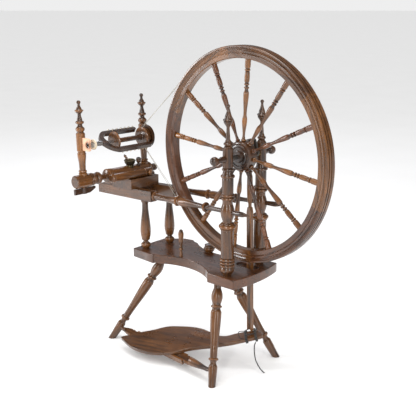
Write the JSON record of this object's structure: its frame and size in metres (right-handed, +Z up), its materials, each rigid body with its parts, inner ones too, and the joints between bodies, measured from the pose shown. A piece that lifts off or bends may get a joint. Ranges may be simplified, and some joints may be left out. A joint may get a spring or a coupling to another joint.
{
  "type": "spinning wheel",
  "caption": "Treadle spinning wheel with a spoked drive wheel on a three-legged table, a sliding flyer head on a sloping bench and a footman linking treadle and crank.",
  "frame": {"origin": "centre of the footprint on the floor", "axes": "+X from the flyer end to the wheel end, +Y away from the spinner, +Z up"},
  "size_m": [0.9079, 0.4201, 0.965],
  "materials": {
    "walnut_stain": "satin lacquer over walnut stain",
    "dark_walnut": "satin lacquer over darker stain",
    "steel": "turned and drawn steel",
    "brass_wire": "plain brass",
    "tan_leather": "thick undyed leather",
    "black_cord": "braided black cord",
    "band_cord": "thin cotton drive cord",
    "dark_brass": "dark patinated metal",
    "hook_wood": "oiled turned wood"
  },
  "bodies": {
    "frame": {"table": "walnut_stain", "leg_left": "walnut_stain", "leg_near": "walnut_stain", "leg_far": "walnut_stain", "post_near": "walnut_stain", "post_far": "walnut_stain", "rail_near": "walnut_stain", "rail_far": "walnut_stain", "bench_near": "walnut_stain", "bench_far": "walnut_stain", "bench_end": "dark_walnut", "short_post_near": "walnut_stain", "short_post_far": "walnut_stain", "table_peg": "walnut_stain", "table_boss": "walnut_stain", "axle_knobs": "dark_walnut", "axle_bearings": "brass_wire", "drive_band": "band_cord"},
    "drive_wheel": {"felloe_1": "walnut_stain", "felloe_2": "walnut_stain", "felloe_3": "walnut_stain", "felloe_4": "walnut_stain", "felloe_5": "walnut_stain", "felloe_6": "walnut_stain", "spoke_01": "walnut_stain", "spoke_02": "walnut_stain", "spoke_03": "walnut_stain", "spoke_04": "walnut_stain", "spoke_05": "walnut_stain", "spoke_06": "walnut_stain", "spoke_07": "walnut_stain", "spoke_08": "walnut_stain", "spoke_09": "walnut_stain", "spoke_10": "walnut_stain", "spoke_11": "walnut_stain", "spoke_12": "walnut_stain", "hub": "dark_walnut", "axle": "steel"},
    "treadle": {"treadle_board": "walnut_stain", "treadle_bar": "walnut_stain", "lashing": "black_cord", "cord_tail": "black_cord"},
    "footman": {"footman": "walnut_stain"},
    "mother_of_all": {"sled": "walnut_stain", "mother_bar": "walnut_stain", "front_bar": "walnut_stain", "maiden_far": "walnut_stain", "leather_far": "tan_leather", "cup": "dark_brass"},
    "near_maiden": {"maiden_near": "walnut_stain", "maiden_key": "dark_walnut", "leather_near": "tan_leather"},
    "flyer": {"flyer_arms": "dark_walnut", "spindle": "steel", "flyer_hooks": "brass_wire", "flyer_whorl": "walnut_stain"},
    "bobbin": {"bobbin": "walnut_stain"},
    "tension_screw": {"tension_screw": "walnut_stain"},
    "brake_knob": {"brake_knob": "walnut_stain"},
    "threading_hook": {"threading_hook": "hook_wood"}
  },
  "joints": [
    {"name": "wheel_spin", "type": "hinge", "parent": "frame", "child": "drive_wheel", "pos_m": [0.149, 0.0506, 0.66], "axis": [0, 1, 0], "continuous": true},
    {"name": "treadle_pivot", "type": "hinge", "parent": "frame", "child": "treadle", "pos_m": [-0.293, -0.0574, 0.038], "axis": [0.9996, -0.027, 0], "range_deg": [-21.5, 0.5]},
    {"name": "footman_swing", "type": "hinge", "parent": "treadle", "child": "footman", "pos_m": [0.146, 0.0976, 0.114], "axis": [0.9996, -0.027, 0], "range_deg": [-0.7, 23.4], "deforming": ["lashing"]},
    {"name": "tension_slide", "type": "slide", "parent": "frame", "child": "mother_of_all", "axis": [0.9982, 0, 0.0593], "range_m": [-0.01, 0.03], "deforming": ["drive_band"]},
    {"name": "screw_turn", "type": "hinge", "parent": "frame", "child": "tension_screw", "pos_m": [-0.291, 0.0396, 0.488], "axis": [0.9982, 0, 0.0593], "range_deg": [-601, 1801]},
    {"name": "maiden_turn", "type": "hinge", "parent": "mother_of_all", "child": "near_maiden", "pos_m": [-0.295, -0.175, 0.552], "axis": [-0.0349, 0, 0.9994], "range_deg": [-80, 0]},
    {"name": "flyer_spin", "type": "hinge", "parent": "mother_of_all", "child": "flyer", "pos_m": [-0.262, 0.0506, 0.6655], "axis": [0, 1, 0], "continuous": true},
    {"name": "bobbin_spin", "type": "hinge", "parent": "flyer", "child": "bobbin", "pos_m": [-0.262, 0.0506, 0.6655], "axis": [0, 1, 0], "continuous": true},
    {"name": "brake_turn", "type": "hinge", "parent": "mother_of_all", "child": "brake_knob", "pos_m": [-0.258, 0.0466, 0.552], "axis": [1, 0, 0], "range_deg": [-170, 170]},
    {"name": "hook_lift", "type": "slide", "parent": "mother_of_all", "child": "threading_hook", "axis": [-0.1489, -0.5108, 0.8467], "range_m": [0, 0.05]}
  ],
  "couplings": [
    {"joint": "flyer_spin", "follows": "wheel_spin", "ratio": 8.9118},
    {"joint": "bobbin_spin", "follows": "wheel_spin", "ratio": 3.2082},
    {"joint": "footman_swing", "follows": "treadle_pivot", "ratio": -1.0745},
    {"joint": "screw_turn", "follows": "tension_slide", "rad_per_m": 1047.2}
  ]
}
